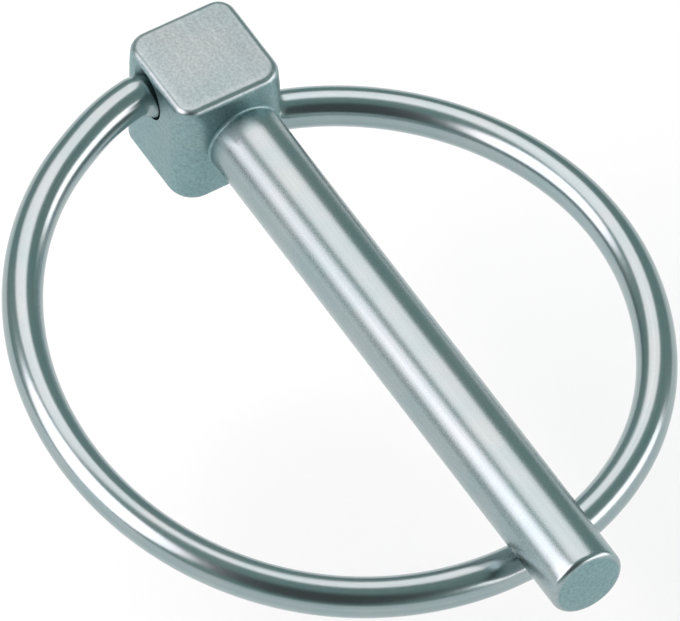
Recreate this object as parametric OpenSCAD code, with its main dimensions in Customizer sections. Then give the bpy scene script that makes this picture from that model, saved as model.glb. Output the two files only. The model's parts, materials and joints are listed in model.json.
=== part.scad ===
// Linch pin: a forged pin with a square head, and a spring wire ring
// that is hinged in a slanting hole through the head and snaps shut under the shank.
// The origin is on the shank's axis, halfway along its grip. +X runs along the shank to its tip,
// +Z is the top of the head, sizes in mm.

/* [Shank] */
// Diameter of the parallel shank
shank_diameter = 6; // [4:0.1:12]
// Length from the head's front face to the tip
shank_length = 50.05; // [35:0.05:90]
// Length of the parallel part, up to the ring
grip_length = 40; // [25:0.5:75]
// Diameter of the tapered lead-in at the tip
tip_diameter = 5.95; // [3:0.05:11]
// Rounding of the tip's edge
tip_edge_radius = 0.8; // [0.1:0.05:1]
// Hollow fillet where the shank leaves the head
root_fillet = 0.5; // [0.2:0.05:1]

/* [Head] */
// Length of the head along the shank
head_length = 9.15; // [7:0.05:16]
// Width of the head, from hole mouth to hole mouth
head_width = 9.05; // [7:0.05:16]
// Height of the head
head_height = 10.4; // [8:0.05:18]
// How far the forging sits to the near side of the shank's axis
head_side_shift = 0.8; // [0:0.05:1.5]
// How far the forging sits above the shank's axis
head_lift = 0.15; // [0:0.05:1]
// Rounding of the four upright edges
corner_radius = 1.6; // [0.8:0.1:2.5]
// Rounding of the top and bottom rims
rim_radius = 0.6; // [0.2:0.05:1.2]

/* [Wire hole] */
// Gap all round between the wire and the hole
hole_clearance = 0.1; // [0.03:0.01:0.4]
// How much wider the mouths of the hole are at the faces
mouth_flare = 0.55; // [0.1:0.05:0.6]
// Depth of the widened mouths
mouth_depth = 1.6; // [0.8:0.1:2.5]
// Distance of the near mouth behind the head's front face
near_setback = 5.31; // [4:0.05:7]
// Height of the near mouth above the shank's axis
near_height = 2.85; // [1:0.05:4]
// Distance of the far mouth behind the head's front face
far_setback = 2.53; // [2:0.05:5]
// Depth of the far mouth below the shank's axis
far_drop = 2.35; // [0.5:0.05:4]

/* [Spring ring] */
// Diameter of the spring wire
wire_diameter = 3.1; // [1.5:0.1:4]
// Distance from the head's front face to the ring's nose
nose_reach = 42.35; // [30:0.05:80]
// Gap between the closed ring's nose and the shank
nose_gap = 0.12; // [0.05:0.01:0.5]
// Sideways swing of the wire where it passes under the shank, in degrees
nose_yaw = -6; // [-10:0.5:10]
// Tilt of the wire where it passes under the shank, in degrees
nose_roll = -1.25; // [-4:0.25:4]
// Where the near arm starts to turn into its hole, outside the face
near_standoff = 1; // [0.6:0.05:2]
// Where the far arm starts to turn into its hole, outside the face
far_standoff = 1.32; // [0.6:0.05:2]
// Tangent length of the near bend
near_bend = 0.6; // [0.4:0.05:1.2]
// Tangent length of the far bend
far_bend = 0.9; // [0.4:0.05:1.2]
// Straight wire inside the hole at each end
stub_length = 3; // [1.5:0.1:3.6]

/* [Hidden] */
shank_radius = shank_diameter / 2;
tip_radius = tip_diameter / 2;
wire_radius = wire_diameter / 2;
hole_radius = wire_radius + hole_clearance;

grip_middle = (root_fillet + grip_length) / 2;

near_face = -head_side_shift - head_width / 2;
far_face = -head_side_shift + head_width / 2;
head_bottom = head_lift - head_height / 2;

// The wire is led from the nose to each arm's bend by one arc,
// and both arcs share the nose and the direction of the wire there.
nose = [nose_reach, 0, -(shank_radius + nose_gap + wire_radius)];
nose_along = [
  sin(nose_yaw),
  cos(nose_yaw) * cos(nose_roll),
  cos(nose_yaw) * sin(nose_roll)
];
near_start = [-near_setback, near_face - near_standoff, near_height];
far_start = [-far_setback, far_face + far_standoff, -far_drop];

function unit(v) = v / norm(v);
function across(v, along) = v - (v * along) * along;
function arc_toward(from, along, to) = unit(across(to - from, along));
function arc_radius(from, along, to) = pow(norm(to - from), 2) / (2 * norm(across(to - from, along)));
function arc_angle(from, along, to) = let(
    run = (to - from) * along,
    rise = norm(across(to - from, along)),
    turn = atan2(run, arc_radius(from, along, to) - rise)
  ) turn > 0 ? turn : turn + 360;
function arc_heading(from, along, to) = let(
    turn = arc_angle(from, along, to)
  ) cos(turn) * along + sin(turn) * arc_toward(from, along, to);

near_heading = arc_heading(nose, -nose_along, near_start);
far_heading = arc_heading(nose, nose_along, far_start);

// The slanting hole runs through the points where the two arms turn in.
near_apex = near_start + near_bend * near_heading;
far_apex = far_start + far_bend * far_heading;
hole_along = unit(far_apex - near_apex);
near_mouth = near_apex + hole_along * ((near_face - near_apex.y) / hole_along.y);
far_mouth = far_apex + hole_along * ((far_face - far_apex.y) / hole_along.y);
hole_length = norm(far_mouth - near_mouth);

seam_half = 0.03;
seam_rise = 0.004;
near_turn = acos(near_heading * hole_along);
far_turn = acos(far_heading * -hole_along);

$fn = 96;

// Turns the drawing's own axes onto a start, a first direction and a second one.
module placed(at, first, second) {
  third = cross(first, second);
  multmatrix([
    [first.x, second.x, third.x, at.x],
    [first.y, second.y, third.y, at.y],
    [first.z, second.z, third.z, at.z],
    [0, 0, 0, 1]
  ])
  children();
}

// Straight wire from a point along a direction.
module straight_wire(at, along, length) {
  side = unit(across([0, 0, 1], along));
  placed(at, side, cross(along, side))
  cylinder(h = length, r = wire_radius);
}

// Round wire bent to an arc, starting at a point in a direction and turning towards another.
// It stops just short at both ends, where a seam closes it to the next length.
module bent_wire(at, along, toward, bend_radius, turn) {
  short = seam_half / bend_radius * 180 / PI;
  placed(at + bend_radius * toward, -toward, along)
  rotate([0, 0, short])
  rotate_extrude(angle = turn - 2 * short)
  translate([bend_radius, 0])
  circle(r = wire_radius);
}

// The seam between two lengths of the one wire, a few thousandths of a millimetre proud.
module seam(at) {
  translate(at)
  sphere(r = wire_radius + seam_rise);
}

module rounded_corners(length, height, radius) {
  union() {
    translate([0, radius])
    square([length, height - 2 * radius]);
    translate([radius, 0])
    square([length - 2 * radius, height]);
    for (x = [radius, length - radius], y = [radius, height - radius]) {
      translate([x, y])
      circle(r = radius);
    }
  }
}

// One upright edge of the head with its rounded rims, turned about its own centre.
module upright_edge() {
  rotate_extrude()
  union() {
    square([corner_radius - rim_radius, head_height]);
    translate([corner_radius - rim_radius, rim_radius])
    square([rim_radius, head_height - 2 * rim_radius]);
    translate([corner_radius - rim_radius, rim_radius])
    circle(r = rim_radius);
    translate([corner_radius - rim_radius, head_height - rim_radius])
    circle(r = rim_radius);
  }
}

module head_block() {
  translate([-head_length, near_face, head_bottom]) {
    translate([0, head_width - corner_radius, 0])
    rotate([90, 0, 0])
    linear_extrude(height = head_width - 2 * corner_radius)
    rounded_corners(head_length, head_height, rim_radius);
    translate([corner_radius, 0, 0])
    rotate([90, 0, 90])
    linear_extrude(height = head_length - 2 * corner_radius)
    rounded_corners(head_width, head_height, rim_radius);
    for (x = [corner_radius, head_length - corner_radius], y = [corner_radius, head_width - corner_radius]) {
      translate([x, y, 0])
      upright_edge();
    }
  }
}

// The shank turned about its own axis, with its fillet, parallel part, taper and rounded tip.
module shank() {
  root = head_length / 2;
  tip_edge = [tip_radius - tip_edge_radius, shank_length - tip_edge_radius];
  rotate([0, 90, 0])
  rotate_extrude()
  union() {
    polygon([
      [0, -root],
      [shank_radius, -root],
      [shank_radius, grip_length],
      [tip_radius, tip_edge.y],
      [0, tip_edge.y]
    ]);
    translate([0, tip_edge.y - tip_edge_radius])
    square([tip_edge.x, 2 * tip_edge_radius]);
    translate(tip_edge)
    circle(r = tip_edge_radius);
    difference() {
      translate([shank_radius, -corner_radius])
      square([root_fillet, root_fillet + corner_radius]);
      translate([shank_radius + root_fillet, root_fillet])
      circle(r = root_fillet);
    }
  }
}

// The slanting hole, turned about its own axis with a widened mouth at each face.
module wire_hole() {
  side = unit(across([0, 0, 1], hole_along));
  outside = mouth_depth;
  placed(near_mouth, side, cross(hole_along, side))
  rotate_extrude()
  polygon([
    [0, -outside],
    [hole_radius + 2 * mouth_flare, -outside],
    [hole_radius, mouth_depth],
    [hole_radius, hole_length - mouth_depth],
    [hole_radius + 2 * mouth_flare, hole_length + outside],
    [0, hole_length + outside]
  ]);
}

// Everything is drawn from the head's front face and then moved to the middle of the grip.
module from_grip_middle() {
  translate([-grip_middle, 0, 0])
  children();
}

module pin() {
  color([0.62, 0.67, 0.68])
  from_grip_middle()
  difference() {
    union() {
      head_block();
      shank();
    }
    wire_hole();
  }
}

// One arm of the ring: the long arc from the nose, the bend at the head, and the end in the hole.
module arm(along, start, heading, inward, bend, turn) {
  toward = arc_toward(nose, along, start);
  bent_wire(nose, along, toward, arc_radius(nose, along, start), arc_angle(nose, along, start));
  bent_wire(start, heading, unit(across(inward, heading)), bend / tan(turn / 2), turn);
  end = start + bend * (heading + inward);
  straight_wire(end + seam_half * inward, inward, stub_length - seam_half);
  seam(start);
  seam(end);
}

module spring_ring() {
  color([0.6, 0.66, 0.67])
  from_grip_middle()
  union() {
    arm(-nose_along, near_start, near_heading, hole_along, near_bend, near_turn);
    arm(nose_along, far_start, far_heading, -hole_along, far_bend, far_turn);
    seam(nose);
  }
}

pin();
spring_ring();
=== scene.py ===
import json
import math

import bmesh
import bpy
from mathutils import Matrix, Vector, noise


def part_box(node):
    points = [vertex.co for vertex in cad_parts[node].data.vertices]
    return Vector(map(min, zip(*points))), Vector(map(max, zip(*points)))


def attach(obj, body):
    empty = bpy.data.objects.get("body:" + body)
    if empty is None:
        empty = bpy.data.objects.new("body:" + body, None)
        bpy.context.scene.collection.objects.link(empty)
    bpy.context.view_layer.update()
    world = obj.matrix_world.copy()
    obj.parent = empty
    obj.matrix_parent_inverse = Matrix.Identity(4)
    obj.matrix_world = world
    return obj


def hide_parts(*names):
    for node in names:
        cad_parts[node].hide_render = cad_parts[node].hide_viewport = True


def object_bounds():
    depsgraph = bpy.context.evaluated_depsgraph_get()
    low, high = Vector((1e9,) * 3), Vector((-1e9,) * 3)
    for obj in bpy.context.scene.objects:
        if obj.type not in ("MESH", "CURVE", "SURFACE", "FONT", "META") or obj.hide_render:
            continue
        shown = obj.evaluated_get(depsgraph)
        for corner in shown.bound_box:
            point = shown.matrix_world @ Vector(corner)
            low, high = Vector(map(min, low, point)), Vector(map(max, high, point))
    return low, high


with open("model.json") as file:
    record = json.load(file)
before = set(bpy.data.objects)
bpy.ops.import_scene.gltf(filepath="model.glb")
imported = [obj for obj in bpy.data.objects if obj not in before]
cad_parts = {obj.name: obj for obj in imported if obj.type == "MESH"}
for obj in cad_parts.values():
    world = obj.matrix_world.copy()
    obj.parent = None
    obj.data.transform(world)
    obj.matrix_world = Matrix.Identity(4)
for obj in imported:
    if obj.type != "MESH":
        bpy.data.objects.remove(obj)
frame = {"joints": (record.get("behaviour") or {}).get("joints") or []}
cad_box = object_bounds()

# The pin: a square head forged on the end of a round steel bar, and plated with zinc as one piece.
# The die leaves the near side of the head leaning a little, and tumbling has rounded all its edges.
# One hole is drilled on a slant through the head, opened out at both mouths, for the ring's two ends.
MM = 0.001

pin_low, pin_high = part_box("pin")

shank_radius = 3.0 * MM
grip_length = 40.0 * MM
shank_root = 3.0 * MM
tip_radius = 2.975 * MM
tip_edge = 0.5 * MM
root_fillet = 0.22 * MM
root_sink = 0.006 * MM

head_length = 9.15 * MM
corner_radii = (1.45 * MM, 1.6 * MM, 1.55 * MM, 2.1 * MM)
top_corner_radii = (1.8 * MM, 1.4 * MM, 1.8 * MM, 1.15 * MM)
top_blend = 2.0 * MM
rim_radius = 0.62 * MM
near_lean = 0.1 * MM
top_crown = 0.08 * MM
forge_unevenness = 0.02 * MM
forge_pitch = 2.6 * MM

head_rear = pin_low.x
head_front = head_rear + head_length
head_near, head_far = pin_low.y, pin_high.y
head_bottom, head_top = pin_low.z, pin_high.z
tip_end = pin_high.x


def skin(name, loops):
    """A closed skin over a row of like loops of points, with a flat face at each end."""
    bm = bmesh.new()
    rows = [[bm.verts.new(point) for point in loop] for loop in loops]
    for first, second in zip(rows, rows[1:]):
        for i in range(len(first)):
            j = (i + 1) % len(first)
            bm.faces.new((first[i], first[j], second[j], second[i]))
    bm.faces.new(reversed(rows[0]))
    bm.faces.new(rows[-1])
    bmesh.ops.recalc_face_normals(bm, faces=bm.faces[:])
    mesh = bpy.data.meshes.new(name)
    bm.to_mesh(mesh)
    bm.free()
    piece = bpy.data.objects.new(name, mesh)
    bpy.context.scene.collection.objects.link(piece)
    return piece


def head_loop(inset, height, shrink=1.0, per_corner=12, per_side=22):
    """One level of the head: a square with round corners, leaning on its near side."""
    lean = near_lean * (2.0 * (height - head_bottom) / (head_top - head_bottom) - 1.0)
    low = Vector((head_rear + inset, head_near + lean + inset))
    high = Vector((head_front - inset, head_far - inset))
    softening = min(1.0, max(0.0, 1.0 - (head_top - height) / top_blend))
    corners = []
    for k, (x_side, y_side) in enumerate(((1, 1), (-1, 1), (-1, -1), (1, -1))):
        radius = corner_radii[k] + (top_corner_radii[k] - corner_radii[k]) * softening - inset
        centre = Vector((
            high.x - radius if x_side > 0 else low.x + radius,
            high.y - radius if y_side > 0 else low.y + radius,
        ))
        turns = [math.radians(90.0 * (k + i / per_corner)) for i in range(per_corner + 1)]
        corners.append([centre + radius * Vector((math.cos(turn), math.sin(turn))) for turn in turns])
    flat = []
    for k, corner in enumerate(corners):
        target = corners[(k + 1) % 4][0]
        flat.extend(corner)
        flat.extend(corner[-1].lerp(target, i / per_side) for i in range(1, per_side))
    middle = (low + high) / 2.0
    return [(*(middle + shrink * (point - middle)), height) for point in flat]


head_loops = []
cap_steps, rim_steps, side_steps = 9, 8, 26
cap_middle = 0.08
for i in range(cap_steps):
    shrink = cap_middle + (1.0 - cap_middle) * i / cap_steps
    head_loops.append(head_loop(rim_radius, head_bottom, shrink))
for i in range(rim_steps + 1):
    turn = math.radians(90.0 * i / rim_steps)
    rise = rim_radius * (1.0 - math.cos(turn))
    head_loops.append(head_loop(rim_radius * (1.0 - math.sin(turn)), head_bottom + rise))
rim_top = head_top - top_crown
for i in range(1, side_steps):
    low, high = head_bottom + rim_radius, rim_top - rim_radius
    head_loops.append(head_loop(0.0, low + (high - low) * i / side_steps))
for i in range(rim_steps + 1):
    turn = math.radians(90.0 * i / rim_steps)
    drop = rim_radius * (1.0 - math.sin(turn))
    head_loops.append(head_loop(rim_radius * (1.0 - math.cos(turn)), rim_top - drop))
for i in range(1, cap_steps + 1):
    shrink = 1.0 - (1.0 - cap_middle) * i / cap_steps
    head_loops.append(head_loop(rim_radius, rim_top + top_crown * (1.0 - shrink * shrink), shrink))
head = skin("head_blank", head_loops)

for vertex in head.data.vertices:
    push = noise.noise(vertex.co / forge_pitch) * forge_unevenness
    vertex.co += vertex.normal * push


def turned_loops(profile, origin, along, sides=96):
    """Loops round an axis, from pairs of distance along it and radius."""
    across = along.orthogonal().normalized()
    third = along.cross(across)
    turns = [2.0 * math.pi * k / sides for k in range(sides)]
    return [
        [origin + along * run + radius * (math.cos(turn) * across + math.sin(turn) * third) for turn in turns]
        for run, radius in profile
    ]


root_steps, grip_steps, taper_steps, tip_steps = 10, 24, 8, 8
shank_length = tip_end - head_front
shank_profile = [(-shank_root, shank_radius), (-shank_root * 0.5, shank_radius + root_fillet)]
for i in range(root_steps + 1):
    turn = math.radians(90.0 * i / root_steps)
    shank_profile.append((
        root_fillet * (1.0 - math.cos(turn)) - root_sink,
        shank_radius + root_fillet * (1.0 - math.sin(turn)),
    ))
for i in range(1, grip_steps + 1):
    shank_profile.append((root_fillet + (grip_length - root_fillet) * i / grip_steps, shank_radius))
for i in range(1, taper_steps + 1):
    part = i / taper_steps
    shank_profile.append((
        grip_length + (shank_length - tip_edge - grip_length) * part,
        shank_radius + (tip_radius - shank_radius) * part,
    ))
for i in range(1, tip_steps + 1):
    turn = math.radians(90.0 * i / tip_steps)
    shank_profile.append((
        shank_length - tip_edge * (1.0 - math.sin(turn)),
        tip_radius - tip_edge * (1.0 - math.cos(turn)),
    ))
for shrink in (0.8, 0.6, 0.4, 0.2, 0.05):
    shank_profile.append((shank_length, (tip_radius - tip_edge) * shrink))
shank_start = Vector((head_front, 0.0, 0.0))
shank = skin("shank_blank", turned_loops(shank_profile, shank_start, Vector((1.0, 0.0, 0.0))))

hinge = frame["joints"][0]
hole_along = Vector(hinge["axis"]).normalized()
hole_middle = Vector(hinge["pos_m"])
wire_radius = 1.55 * MM
hole_clearance = 0.1 * MM
hole_radius = wire_radius + hole_clearance
near_flare = 0.2 * MM
far_flare = 0.3 * MM
mouth_depth = 1.6 * MM

near_run = (head_near - hole_middle.y) / hole_along.y
far_run = (head_far - hole_middle.y) / hole_along.y
hole_profile = [
    (near_run - mouth_depth, hole_radius + 2.0 * near_flare),
    (near_run + mouth_depth, hole_radius),
    (far_run - mouth_depth, hole_radius),
    (far_run + mouth_depth, hole_radius + 2.0 * far_flare),
]
drill = skin("hole_drill", turned_loops(hole_profile, hole_middle, hole_along, sides=80))

# The near mouth is relieved at its rear and top, where the wire lies when the ring is fully open.
relief_run = 6.056 * MM
relief_along = Vector((-0.5345, -0.4341, 0.7252))
relief_radius = wire_radius + hole_clearance
relief_back, relief_length = 0.3 * MM, 7.0 * MM
relief_start = hole_middle - relief_run * hole_along
relief_profile = [(-relief_back, relief_radius), (relief_length, relief_radius)]
reliefs = []
for short_of_limit in (0.0, 14.0):
    swung_along = Matrix.Rotation(math.radians(-short_of_limit), 3, hole_along) @ relief_along
    relief_loops = turned_loops(relief_profile, relief_start, swung_along, sides=64)
    reliefs.append(skin("mouth_relief", relief_loops))

for tool in (shank, drill, *reliefs):
    cut = head.modifiers.new(tool.name, "BOOLEAN")
    cut.object = tool
    cut.operation = "UNION" if tool == shank else "DIFFERENCE"
    cut.solver = "EXACT"
forged = bpy.data.meshes.new_from_object(head.evaluated_get(bpy.context.evaluated_depsgraph_get()))
for blank in (head, shank, drill, *reliefs):
    bpy.data.objects.remove(blank)
forged.name = "forged_pin"
forged.shade_smooth()
forged_sharp_angle = 28.0
forged.set_sharp_from_angle(angle=math.radians(forged_sharp_angle))
pin = bpy.data.objects.new("forged_pin", forged)
bpy.context.scene.collection.objects.link(pin)

wear_reach = 0.9 * rim_radius
top_depth = 0.3 * MM
top_dullness = 0.55
tip_wear = 0.35
tip_face_depth = 0.01 * MM
worn = forged.attributes.new("worn_edge", "FLOAT", "POINT")
dull = forged.attributes.new("dull_skin", "FLOAT", "POINT")
# Painted shade: this mask tints the head's sides and the tip's end face darker and more teal, standing for the
# shaded floor they face; the head's top is left out.
side_shade_mask = forged.attributes.new("painted_side_shade", "FLOAT", "POINT")
for vertex in forged.vertices:
    x, y, z = vertex.co
    if x < head_front + root_fillet:
        gaps = sorted((
            min(x - head_rear, max(0.0, head_front - x)),
            min(y - head_near, head_far - y),
            min(z - head_bottom, head_top - z),
        ))
        on_top = head_top - z < top_depth
        edge = 1.0 - gaps[1] / wear_reach
        flat = (1.0 - edge) * (top_dullness if on_top else 1.0)
        # The head's sides get the painted shade; its top does not.
        side_shade = flat if head_top - z > top_depth else 0.0
    else:
        edge = tip_wear * (1.0 - max(tip_end - x, tip_radius - math.hypot(y, z)) / tip_edge)
        # The tip's end face gets the painted shade too.
        flat = side_shade = 1.0 if tip_end - x < tip_face_depth else 0.0
    worn.data[vertex.index].value = min(1.0, max(0.0, edge))
    dull.data[vertex.index].value = min(1.0, max(0.0, flat))
    side_shade_mask.data[vertex.index].value = min(1.0, max(0.0, side_shade))


def zinc_plate_group():
    """Zinc plating: cool and warm patches, mottled grain, drawing streaks, a darker teal tint of painted shade
    where a mask asks for it, and worn edges.
    """
    cool_zinc = (0.285, 0.375, 0.385, 1.0)
    warm_zinc = (0.32, 0.39, 0.395, 1.0)
    rubbed_zinc = (0.44, 0.50, 0.51, 1.0)
    # A darker teal multiplier: painted shade for the head's sides and the tip's end face.
    painted_side_shade = (0.74, 0.91, 0.92, 1.0)
    group = bpy.data.node_groups.new("zinc_plate", "ShaderNodeTree")
    for socket, kind in (
        ("Place", "NodeSocketVector"),
        ("Worn Edge", "NodeSocketFloat"),
        ("Dull Skin", "NodeSocketFloat"),
        ("Painted Side Shade", "NodeSocketFloat"),
        ("Drawing Lines", "NodeSocketFloat"),
        ("Polish", "NodeSocketFloat"),
    ):
        group.interface.new_socket(socket, in_out="INPUT", socket_type=kind)
    for socket, kind in (
        ("Color", "NodeSocketColor"),
        ("Roughness", "NodeSocketFloat"),
        ("Height", "NodeSocketFloat"),
    ):
        group.interface.new_socket(socket, in_out="OUTPUT", socket_type=kind)
    nodes, links = group.nodes, group.links
    given = nodes.new("NodeGroupInput")
    result = nodes.new("NodeGroupOutput")

    def cloud(scale, detail, stretch=None):
        texture = nodes.new("ShaderNodeTexNoise")
        texture.inputs["Scale"].default_value = scale
        texture.inputs["Detail"].default_value = detail
        texture.inputs["Roughness"].default_value = 0.6
        if stretch is None:
            links.new(given.outputs["Place"], texture.inputs["Vector"])
        else:
            squeeze = nodes.new("ShaderNodeMapping")
            squeeze.inputs["Scale"].default_value = stretch
            links.new(given.outputs["Place"], squeeze.inputs["Vector"])
            links.new(squeeze.outputs["Vector"], texture.inputs["Vector"])
        return texture.outputs["Fac"]

    def spread(value, low, high, to_low, to_high):
        span = nodes.new("ShaderNodeMapRange")
        span.inputs["From Min"].default_value = low
        span.inputs["From Max"].default_value = high
        span.inputs["To Min"].default_value = to_low
        span.inputs["To Max"].default_value = to_high
        links.new(value, span.inputs["Value"])
        return span.outputs["Result"]

    def sum_of(first, second, operation="ADD"):
        node = nodes.new("ShaderNodeMath")
        node.operation = operation
        for socket, value in zip(node.inputs, (first, second)):
            if isinstance(value, float):
                socket.default_value = value
            else:
                links.new(value, socket)
        return node.outputs["Value"]

    def blend(kind, factor, first, second):
        node = nodes.new("ShaderNodeMix")
        node.data_type = "RGBA"
        node.blend_type = kind
        for socket, value in ((node.inputs[0], factor), (node.inputs[6], first), (node.inputs[7], second)):
            if isinstance(value, (float, tuple)):
                socket.default_value = value
            else:
                links.new(value, socket)
        return node.outputs[2]

    patches = spread(cloud(210.0, 2.0), 0.35, 0.65, 0.0, 1.0)
    mottle = cloud(4300.0, 3.0)
    grain = cloud(11000.0, 1.0)
    drawn = cloud(2600.0, 2.0, (0.012, 1.0, 1.0))
    lines = sum_of(drawn, given.outputs["Drawing Lines"], "MULTIPLY")
    rubbed = sum_of(given.outputs["Worn Edge"], spread(mottle, 0.3, 0.7, 0.35, 1.0), "MULTIPLY")

    plated = blend("MIX", patches, cool_zinc, warm_zinc)
    streaks = spread(drawn, 0.3, 0.7, 0.86, 1.14)
    streaked = blend("MULTIPLY", given.outputs["Drawing Lines"], plated, streaks)
    speckled = blend("MULTIPLY", 1.0, streaked, spread(mottle, 0.3, 0.7, 0.975, 1.025))
    pits = spread(mottle, 0.3, 0.7, 0.84, 1.16)
    grainy = blend("MULTIPLY", given.outputs["Dull Skin"], speckled, pits)
    # Painted shade: the faces chosen by the mask are darkened towards teal.
    side_shaded = blend("MULTIPLY", given.outputs["Painted Side Shade"], grainy, painted_side_shade)
    bright = blend("MIX", rubbed, side_shaded, rubbed_zinc)
    links.new(bright, result.inputs["Color"])

    rough = sum_of(spread(mottle, 0.3, 0.7, 0.28, 0.30), spread(grain, 0.3, 0.7, -0.005, 0.005))
    rough = sum_of(rough, given.outputs["Polish"], "SUBTRACT")
    rough = sum_of(rough, sum_of(given.outputs["Dull Skin"], 0.18, "MULTIPLY"))
    links.new(sum_of(rough, sum_of(rubbed, -0.05, "MULTIPLY")), result.inputs["Roughness"])

    pitted = sum_of(sum_of(given.outputs["Dull Skin"], 0.35, "MULTIPLY"), 0.08)
    height = sum_of(sum_of(mottle, pitted, "MULTIPLY"), sum_of(grain, 0.04, "MULTIPLY"))
    links.new(sum_of(height, lines), result.inputs["Height"])
    return group


def zinc_material(name, place, drawing_lines, polish, bump_depth):
    """Plated steel whose texture follows a mesh attribute, or the piece's own place if there is none."""
    material = bpy.data.materials.new(name)
    material.use_nodes = True
    nodes, links = material.node_tree.nodes, material.node_tree.links
    steel = nodes["Principled BSDF"]
    steel.inputs["Metallic"].default_value = 1.0
    plate = nodes.new("ShaderNodeGroup")
    plate.node_tree = zinc_plate
    plate.inputs["Drawing Lines"].default_value = drawing_lines
    plate.inputs["Polish"].default_value = polish
    if place is None:
        links.new(nodes.new("ShaderNodeTexCoord").outputs["Object"], plate.inputs["Place"])
    else:
        straight = nodes.new("ShaderNodeAttribute")
        straight.attribute_name = place
        links.new(straight.outputs["Vector"], plate.inputs["Place"])
    for attribute, socket in (
        ("worn_edge", "Worn Edge"),
        ("dull_skin", "Dull Skin"),
        ("painted_side_shade", "Painted Side Shade"),
    ):
        mask = nodes.new("ShaderNodeAttribute")
        mask.attribute_name = attribute
        links.new(mask.outputs["Fac"], plate.inputs[socket])
    bump = nodes.new("ShaderNodeBump")
    bump.inputs["Strength"].default_value = 1.0
    bump.inputs["Distance"].default_value = bump_depth
    links.new(plate.outputs["Height"], bump.inputs["Height"])
    links.new(plate.outputs["Color"], steel.inputs["Base Color"])
    links.new(plate.outputs["Roughness"], steel.inputs["Roughness"])
    links.new(bump.outputs["Normal"], steel.inputs["Normal"])
    return material


zinc_plate = zinc_plate_group()
forged.materials.clear()
forged.materials.append(
    zinc_material("zinc_on_forging", None, drawing_lines=0.35, polish=0.02, bump_depth=0.0014 * MM)
)
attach(pin, "pin")
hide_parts("pin")

# The spring ring: one length of drawn spring wire, bent to an almost closed ring and zinc plated.
# Its nose passes under the shank near the tip. Both ends turn in and sit in the mouths of the slanting
# hole, one higher and further back than the other, so the ring is twisted and snaps over as it turns.
nose_reach = 42.35 * MM
nose_gap = 0.12 * MM
nose_yaw = math.radians(-6.0)
nose_roll = math.radians(-1.25)
near_start = Vector((head_front - 5.31 * MM, head_near - 1.0 * MM, 2.85 * MM))
far_start = Vector((head_front - 2.53 * MM, head_far + 1.32 * MM, -2.35 * MM))
near_bend = 0.6 * MM
far_bend = 0.9 * MM
stub_length = 3.0 * MM
near_pull = 0.35 * MM
pull_share = 0.1
arc_steps, elbow_steps, stub_steps = 180, 14, 6

nose = Vector((head_front + nose_reach, 0.0, -(shank_radius + nose_gap + wire_radius)))
nose_along = Vector((
    math.sin(nose_yaw),
    math.cos(nose_yaw) * math.cos(nose_roll),
    math.cos(nose_yaw) * math.sin(nose_roll),
))


def bend_points(start, along, toward, radius, turn, count):
    """Points on an arc that leaves a start along one direction and turns towards another."""
    return [
        start + radius * (math.sin(turn * i / count) * along + (1.0 - math.cos(turn * i / count)) * toward)
        for i in range(1, count + 1)
    ]


def arm_points(along, start, bend, inward, flat, flat_at, flat_half, pull):
    """One arm of the ring, from its nose to its end in the hole, a little flatter at one place."""
    outward = -pull * inward
    chord = start - nose
    toward = chord - chord.dot(along) * along
    rise = toward.length
    toward.normalize()
    radius = chord.length_squared / (2.0 * rise)
    turn = math.atan2(chord.dot(along), radius - rise) % (2.0 * math.pi)
    heading = math.cos(turn) * along + math.sin(turn) * toward
    corner = heading.angle(inward)
    side = (inward - inward.dot(heading) * heading).normalized()
    points = bend_points(nose, along, toward, radius, turn, arc_steps)
    middle = nose + radius * toward
    for i in range(len(points)):
        part = (i + 1) / len(points)
        ease = max(0.0, 1.0 - (1.0 - part) / pull_share)
        reach = (part - flat_at) / flat_half
        if abs(reach) < 1.0:
            dip = flat * math.cos(reach * math.pi / 2.0) ** 2
            points[i] += dip * (middle - points[i]).normalized()
        points[i] += ease * ease * (3.0 - 2.0 * ease) * outward
    points += bend_points(start + outward, heading, side, bend / math.tan(corner / 2.0), corner, elbow_steps)
    end = points[-1]
    return points + [end + inward * stub_length * i / stub_steps for i in range(1, stub_steps + 1)]


near_arm = arm_points(
    -nose_along, near_start, near_bend, hole_along, flat=0.53 * MM, flat_at=0.61, flat_half=0.42, pull=near_pull
)
far_arm = arm_points(
    nose_along, far_start, far_bend, -hole_along, flat=0.15 * MM, flat_at=0.41, flat_half=0.22, pull=0.0
)
centreline = near_arm[::-1] + [nose] + far_arm

wire_sides = 44
end_chamfer = 0.25 * MM
loops, straightened = [], []
tangents = [
    (centreline[min(i + 1, len(centreline) - 1)] - centreline[max(i - 1, 0)]).normalized()
    for i in range(len(centreline))
]
across = tangents[0].orthogonal().normalized()
run = 0.0
for i, (point, tangent) in enumerate(zip(centreline, tangents)):
    if i:
        run += (point - centreline[i - 1]).length
        across = (tangents[i - 1].rotation_difference(tangent) @ across).normalized()
    third = tangent.cross(across)
    stations = [(0.0, wire_radius)]
    if i == 0:
        stations = [(-end_chamfer, wire_radius - end_chamfer), (0.0, wire_radius)]
    elif i == len(centreline) - 1:
        stations = [(0.0, wire_radius), (end_chamfer, wire_radius - end_chamfer)]
    for shift, radius in stations:
        turns = [2.0 * math.pi * k / wire_sides for k in range(wire_sides)]
        loops.append([
            point + shift * tangent + radius * (math.cos(a) * across + math.sin(a) * third)
            for a in turns
        ])
        straightened.extend((run + shift, radius * math.cos(a), radius * math.sin(a)) for a in turns)
ring = skin("spring_wire_ring", loops)
ring.data.shade_smooth()
wire_sharp_angle = 30.0
ring.data.set_sharp_from_angle(angle=math.radians(wire_sharp_angle))

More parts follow.
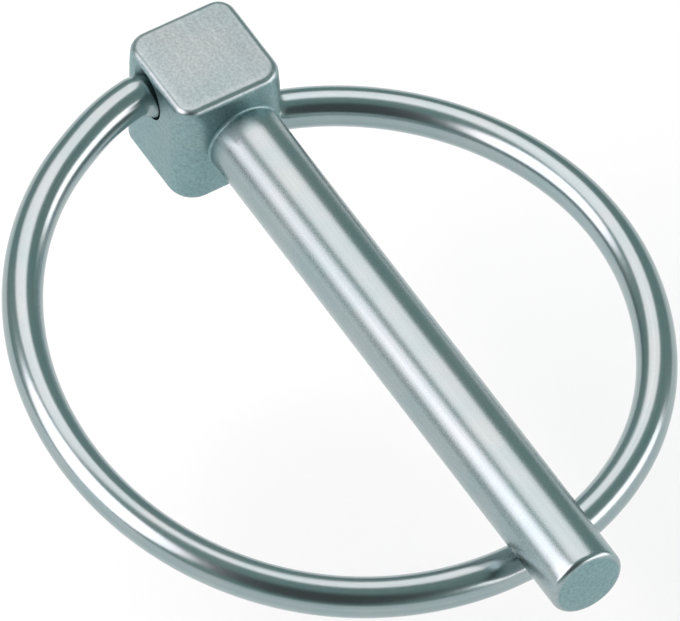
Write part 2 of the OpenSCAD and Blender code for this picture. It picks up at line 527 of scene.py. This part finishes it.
drawn = ring.data.attributes.new("drawn_wire", "FLOAT_VECTOR", "POINT")
drawn.data.foreach_set("vector", [value for place in straightened for value in place])
bruise_reach, bruise_strength = 6.0 * MM, 0.35
bruised = ring.data.attributes.new("worn_edge", "FLOAT", "POINT")
bruised.data.foreach_set("value", [
    max(0.0, 1.0 - (vertex.co - nose).length / bruise_reach) * bruise_strength for vertex in ring.data.vertices
])
ring.data.materials.append(
    zinc_material("zinc_on_spring_wire", "drawn_wire", drawing_lines=0.5, polish=0.07, bump_depth=0.0012 * MM)
)
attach(ring, "ring")
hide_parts("spring_ring")

# The floor: a wide sheet of pale, matt paper. It lies so far below the pin that the ring opens clear of it,
# and what the camera and the metal see of it is lifted a little towards white.
floor_drop = 26.0 * MM
floor_half = 6.0
sheet_dark = (0.74, 0.80, 0.80, 1.0)
sheet_light = (0.76, 0.82, 0.82, 1.0)
sheet_glow = 0.17
fibre_scale = 900.0
floor_mesh = bpy.data.meshes.new("floor")
floor_corners = [(x * floor_half, y * floor_half, 0.0) for x, y in ((-1, -1), (1, -1), (1, 1), (-1, 1))]
floor_mesh.from_pydata(floor_corners, [], [(0, 1, 2, 3)])
floor = bpy.data.objects.new("floor", floor_mesh)
floor.location = (0.0, 0.0, head_bottom - floor_drop)
bpy.context.scene.collection.objects.link(floor)
matt_white = bpy.data.materials.new("matt_white_sheet")
matt_white.use_nodes = True
sheet_nodes, sheet_links = matt_white.node_tree.nodes, matt_white.node_tree.links
sheet = sheet_nodes["Principled BSDF"]
sheet.inputs["Roughness"].default_value = 0.9
sheet.inputs["Specular IOR Level"].default_value = 0.1
fibre = sheet_nodes.new("ShaderNodeTexNoise")
fibre.inputs["Scale"].default_value = fibre_scale
tone = sheet_nodes.new("ShaderNodeMix")
tone.data_type = "RGBA"
tone.inputs[6].default_value = sheet_dark
tone.inputs[7].default_value = sheet_light
sheet_links.new(fibre.outputs["Fac"], tone.inputs[0])
sheet_links.new(tone.outputs[2], sheet.inputs["Base Color"])
seen = sheet_nodes.new("ShaderNodeLightPath")
lift = seen.outputs["Is Camera Ray"]
for ray in ("Is Glossy Ray", "Is Transmission Ray"):
    either = sheet_nodes.new("ShaderNodeMath")
    either.operation = "MAXIMUM"
    sheet_links.new(lift, either.inputs[0])
    sheet_links.new(seen.outputs[ray], either.inputs[1])
    lift = either.outputs["Value"]
glow = sheet_nodes.new("ShaderNodeMath")
glow.operation = "MULTIPLY"
glow.inputs[1].default_value = sheet_glow
sheet_links.new(lift, glow.inputs[0])
sheet.inputs["Emission Color"].default_value = (1.0, 1.0, 1.0, 1.0)
sheet_links.new(glow.outputs["Value"], sheet.inputs["Emission Strength"])
floor_mesh.materials.append(matt_white)

# The studio: a large soft lamp over the pin, one on its left and a low one on its right, in a dim room
# that is darkest at the end where the photographer stands.
centre = (Vector(cad_box[0]) + Vector(cad_box[1])) / 2.0


def soft_lamp(name, shape, direction, distance, width, height, brightness, colour):
    """A flat lamp that faces the pin, with the brightness that its own face shows."""
    lamp = bpy.data.lights.new(name, "AREA")
    lamp.shape = shape
    lamp.size = width
    lamp.size_y = height
    lamp.color = colour
    filled = math.pi / 4.0 if shape == "ELLIPSE" else 1.0
    lamp.energy = brightness * math.pi * width * height * filled
    stand = bpy.data.objects.new(name, lamp)
    stand.location = centre + Vector(direction).normalized() * distance
    stand.rotation_euler = (centre - stand.location).to_track_quat("-Z", "Y").to_euler()
    bpy.context.scene.collection.objects.link(stand)


soft_lamp(
    "overhead_lamp", "RECTANGLE", direction=(-0.51, 0.14, 0.85), distance=0.8,
    width=0.7, height=0.64, brightness=2.05, colour=(1.0, 0.78, 0.79),
)
soft_lamp(
    "left_lamp", "ELLIPSE", direction=(-0.15, -0.81, 0.565), distance=0.8,
    width=0.87, height=0.92, brightness=3.5, colour=(1.0, 0.78, 0.82),
)
soft_lamp(
    "right_lamp", "RECTANGLE", direction=(0.662, 0.710, 0.242), distance=0.8,
    width=1.04, height=0.34, brightness=3.6, colour=(1.0, 0.79, 0.80),
)

dark_end = (0.719, -0.334, 0.610)
wall_colour = (0.31, 0.42, 0.40, 1.0)
dark_end_colour = (0.11, 0.11, 0.11, 1.0)
room = bpy.data.worlds.new("dim_room")
room.use_nodes = True
room_nodes, room_links = room.node_tree.nodes, room.node_tree.links
facing = room_nodes.new("ShaderNodeVectorMath")
facing.operation = "DOT_PRODUCT"
facing.inputs[1].default_value = dark_end
room_links.new(room_nodes.new("ShaderNodeTexCoord").outputs["Generated"], facing.inputs[0])
fade = room_nodes.new("ShaderNodeMapRange")
fade.interpolation_type = "SMOOTHSTEP"
fade.inputs["From Min"].default_value = 0.80
fade.inputs["From Max"].default_value = 0.95
room_links.new(facing.outputs["Value"], fade.inputs["Value"])
walls = room_nodes.new("ShaderNodeMix")
walls.data_type = "RGBA"
walls.inputs[6].default_value = wall_colour
walls.inputs[7].default_value = dark_end_colour
room_links.new(fade.outputs["Result"], walls.inputs[0])
room_links.new(walls.outputs[2], room_nodes["Background"].inputs["Color"])
bpy.context.scene.world = room

# The camera: a long lens, high on the near side of the tip, as in the photograph,
# so that the head is at the top left of the picture and the tip at the bottom right.
view_azimuth = math.radians(59.355)
view_elevation = math.radians(50.4)
view_distance = 1.6216
view_target = Vector((-7.99 * MM, 1.08 * MM, -8.27 * MM))
forward = Vector((
    -math.sin(view_azimuth) * math.cos(view_elevation),
    math.cos(view_azimuth) * math.cos(view_elevation),
    -math.sin(view_elevation),
))
lens = bpy.data.cameras.new("photograph")
lens.sensor_fit = "HORIZONTAL"
lens.sensor_width = 36.0
lens.lens = 1145.0
lens.clip_start = 0.05
lens.clip_end = 30.0
camera = bpy.data.objects.new("photograph", lens)
camera.location = view_target - forward * view_distance
camera.rotation_euler = forward.to_track_quat("-Z", "Y").to_euler()
bpy.context.scene.collection.objects.link(camera)
bpy.context.scene.camera = camera
bpy.context.scene.view_settings.view_transform = "Standard"
